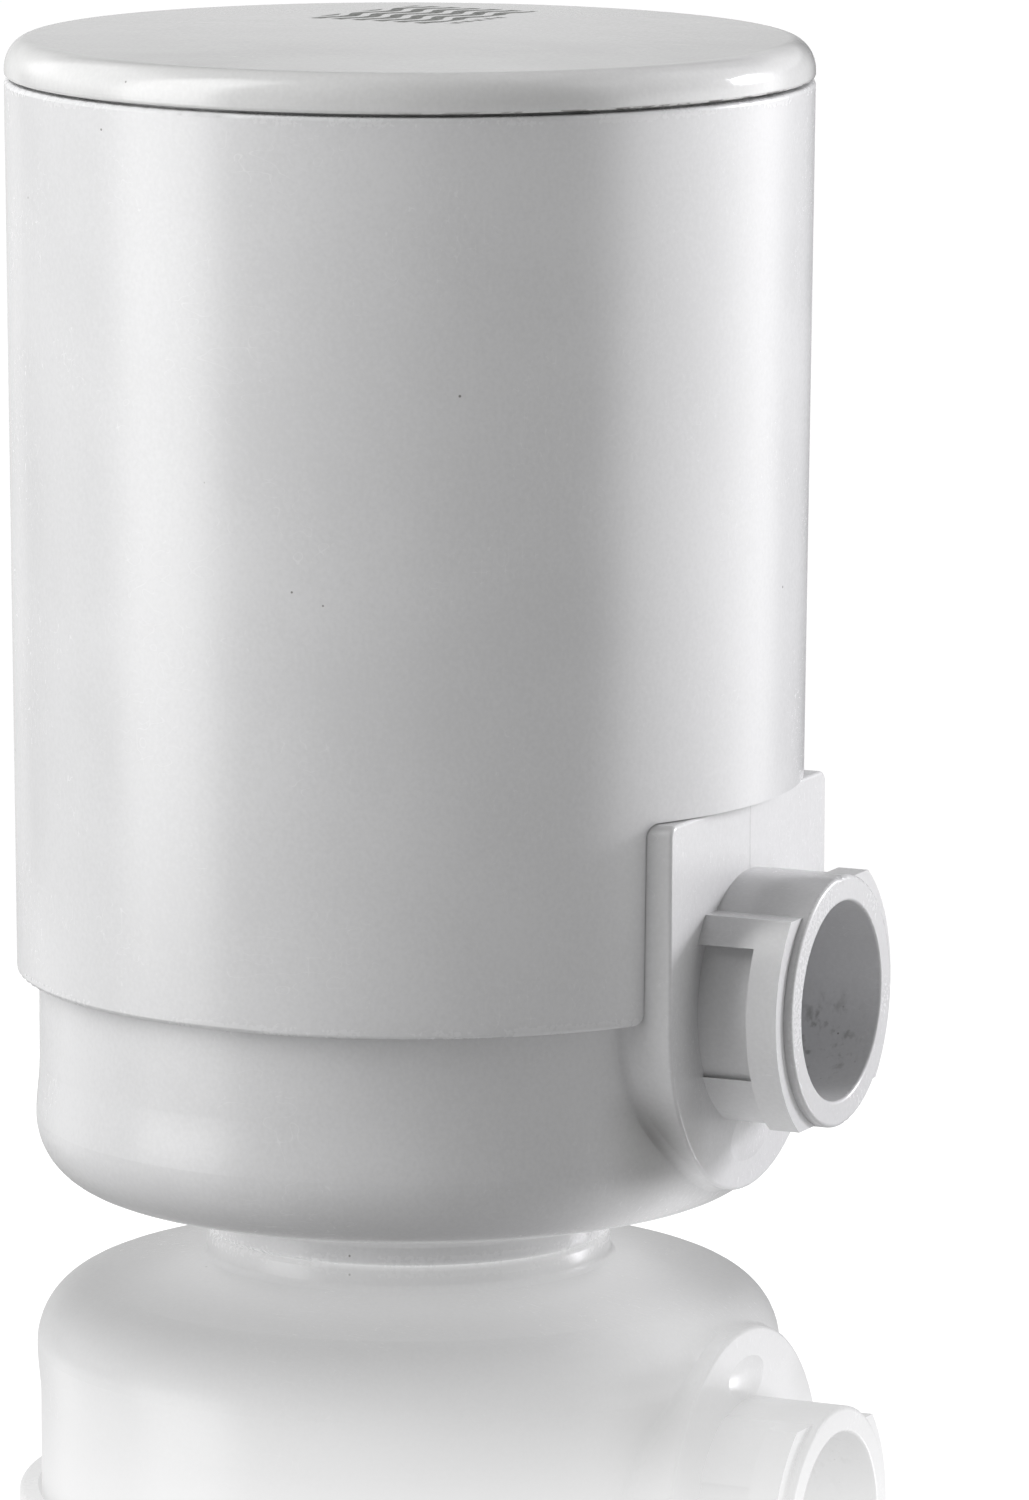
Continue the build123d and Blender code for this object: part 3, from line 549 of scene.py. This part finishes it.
def cap_print(shell, height):
    """Where the ink is: wavy bands that fill a plain rectangle, and a row of dashes beside it."""
    long_axis = direction(90 + PRINT_TURN, 0)
    short_axis = direction(180 + PRINT_TURN, 0)
    middle = direction(90, 0) * PRINT_SIDE + direction(180, 0) * PRINT_BACK
    long = shell.along(long_axis, middle.dot(long_axis))
    short = shell.along(short_axis, middle.dot(short_axis))
    on_crown = shell.math("GREATER_THAN", height, CROWN_Z)
    within = shell.math("MULTIPLY", shell.band(long, 0.0, PRINT_LENGTH / 2, PRINT_EDGE),
                        shell.band(short, 0.0, PRINT_WIDTH / 2, PRINT_EDGE))
    wave = shell.math("SINE", shell.math("MULTIPLY", long, 2 * pi / WAVE_LENGTH))
    lifted = shell.math("ADD", short, shell.math("MULTIPLY", wave, WAVE_RISE))
    bands = shell.math("SINE", shell.math("MULTIPLY", lifted, 2 * pi / WAVE_PITCH))
    inked = shell.step(bands, -0.35, -0.15)
    panel = shell.math("MULTIPLY", within, inked)
    row = shell.band(short, -PRINT_WIDTH / 2 - DASH_GAP, DASH_WIDTH / 2, PRINT_EDGE)
    extent = shell.band(long, -PRINT_LENGTH / 5, PRINT_LENGTH / 4, PRINT_EDGE)
    beat = shell.math("SINE", shell.math("MULTIPLY", long, 2 * pi / DASH_PITCH))
    dashes = shell.math("MULTIPLY", shell.math("MULTIPLY", row, extent), shell.step(beat, -0.5, -0.3))
    thin = shell.vary(0.7, 1.0, shell.grain)
    ink = shell.math("MULTIPLY", shell.math("MAXIMUM", panel, dashes), thin)
    return shell.math("MULTIPLY", ink, on_crown)


# ---- Inner materials, one for each slot of the frame --------------------------------------------
def natural_plastic():
    """Unpigmented moulding: milky, with flow marks and a satin surface."""
    paint = Paint("natural_plastic")
    flow = paint.noise(7 * MM, detail=3, stretch=(1, 1, 0.35))
    grain = paint.noise(0.4 * MM)
    colour = paint.blend(paint.vary(0, 1, flow, grain), *paint.colours)
    colour = paint.blend(paint.specks(2.2 * MM, 0.1, 0.12 * MM), colour, PLASTIC_SPECK)
    paint.bump(grain, 0.004 * MM)
    return paint.finish(colour, paint.vary(0.3, 0.45, flow, grain), Subsurface_Weight=0.15,
                        Subsurface_Scale=1 * MM)


def grey_plastic():
    """Light grey moulding with a fine spark-eroded texture."""
    paint = Paint("grey_plastic")
    cloud = paint.noise(5 * MM, detail=3)
    texture = paint.grains(0.22 * MM)[0]
    colour = paint.blend(paint.vary(0, 1, cloud, texture), *paint.colours)
    paint.bump(texture, 0.008 * MM)
    return paint.finish(colour, paint.vary(0.36, 0.55, cloud, texture))


def seal_rubber():
    """Black rubber with a pale bloom in patches and a lightly ground surface."""
    paint = Paint("seal_rubber")
    bloom = paint.noise(3 * MM, detail=4)
    grain = paint.noise(0.15 * MM)
    colour = paint.blend(paint.vary(0, 1, bloom, grain), *paint.colours)
    paint.bump(grain, 0.006 * MM)
    return paint.finish(colour, paint.vary(0.45, 0.72, bloom, grain))


def carbon():
    """Pressed carbon: coarse black grains, some of which face the light and glint."""
    paint = Paint("pressed_carbon")
    distance, number = paint.grains(0.55 * MM)
    dust = paint.noise(6 * MM, detail=3)
    colour = paint.blend(number, *paint.colours)
    colour = paint.blend(paint.step(dust, 0.5, 0.75), colour, CARBON_DUST)
    paint.bump(distance, 0.12 * MM)
    return paint.finish(colour, paint.step(number, 0.0, 1.0, 0.9, 0.45))


def fleece():
    """Non-woven fleece: matted fibres in two directions, thick and thin in places."""
    paint = Paint("fleece")
    around = paint.noise(0.5 * MM, detail=4, stretch=(1, 1, 6))
    upright = paint.noise(0.5 * MM, detail=4, stretch=(4, 4, 0.7))
    matting = paint.noise(5 * MM, detail=3)
    fibres = paint.math("MAXIMUM", around, upright)
    colour = paint.blend(paint.vary(0, 1, fibres, matting), *paint.colours)
    paint.bump(fibres, 0.12 * MM)
    return paint.finish(colour, paint.vary(0.8, 0.95, matting), Sheen_Weight=0.35)


def hollow_fibre():
    """White membrane fibres, chalky, with fine streaks along their length."""
    paint = Paint("hollow_fibre")
    streaks = paint.noise(0.12 * MM, stretch=(1, 1, 0.12))
    cloud = paint.noise(4 * MM)
    colour = paint.blend(paint.vary(0, 1, streaks, cloud), *paint.colours)
    paint.bump(streaks, 0.01 * MM)
    return paint.finish(colour, paint.vary(0.45, 0.65, streaks, cloud))


def potting_resin():
    """Amber casting resin, glossy, with cloudy depth and tiny bubbles."""
    paint = Paint("potting_resin")
    depth = paint.noise(4 * MM, detail=4)
    bubbles = paint.specks(0.9 * MM, 0.4, 0.12 * MM)
    colour = paint.blend(paint.vary(0, 1, depth), *paint.colours)
    colour = paint.blend(bubbles, colour, RESIN_BUBBLE)
    paint.bump(bubbles, 0.03 * MM)
    return paint.finish(colour, paint.vary(0.1, 0.2, depth), Coat_Weight=0.4)


def spring_steel():
    """Drawn stainless wire: streaked along its turns, a little dull in places."""
    paint = Paint("spring_steel")
    streaks = paint.noise(0.08 * MM, stretch=(5, 1, 1))
    stain = paint.noise(1.5 * MM, detail=3)
    colour = paint.blend(paint.vary(0, 1, stain), *paint.colours)
    paint.bump(streaks, 0.003 * MM)
    return paint.finish(colour, paint.vary(0.2, 0.38, streaks, stain), Metallic=1.0)


SHELLS = {"housing_body": housing_plastic, "outer_sleeve": sleeve_plastic, "top_cap": cap_plastic}
INNER = {
    "natural_plastic": natural_plastic, "grey_plastic": grey_plastic, "seal_rubber": seal_rubber,
    "carbon": carbon, "fleece": fleece, "hollow_fibre": hollow_fibre,
    "potting_resin": potting_resin, "spring_steel": spring_steel,
}


def dress_all():
    """Gives every node its material: the shells one each, the rest one for each slot."""
    materials = {slot: make() for slot, make in INNER.items()}
    for piece in frame["record"]["subparts"]:
        node = piece["node"]
        material = SHELLS[node]() if node in SHELLS else materials[piece["material_slot"]]
        for slot in frame["nodes"][node].material_slots:
            slot.material = material


def make_spring():
    """The valve's spring, copied from its CAD mesh and hung on the cartridge's body, in place of the
    hidden CAD spring.
    """
    node = frame["nodes"]["valve_spring"]
    mesh = node.data.copy()
    mesh.materials.clear()
    mesh.materials.append(node.material_slots[0].material)
    spring = bpy.data.objects.new("coil_spring", mesh)
    bpy.context.scene.collection.objects.link(spring)
    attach(spring, "cartridge")
    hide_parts("valve_spring")
    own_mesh(spring)


make_camera()
make_world()
make_key()
make_floor()
dress_all()
make_spring()
bpy.context.scene.view_settings.view_transform = "Standard"
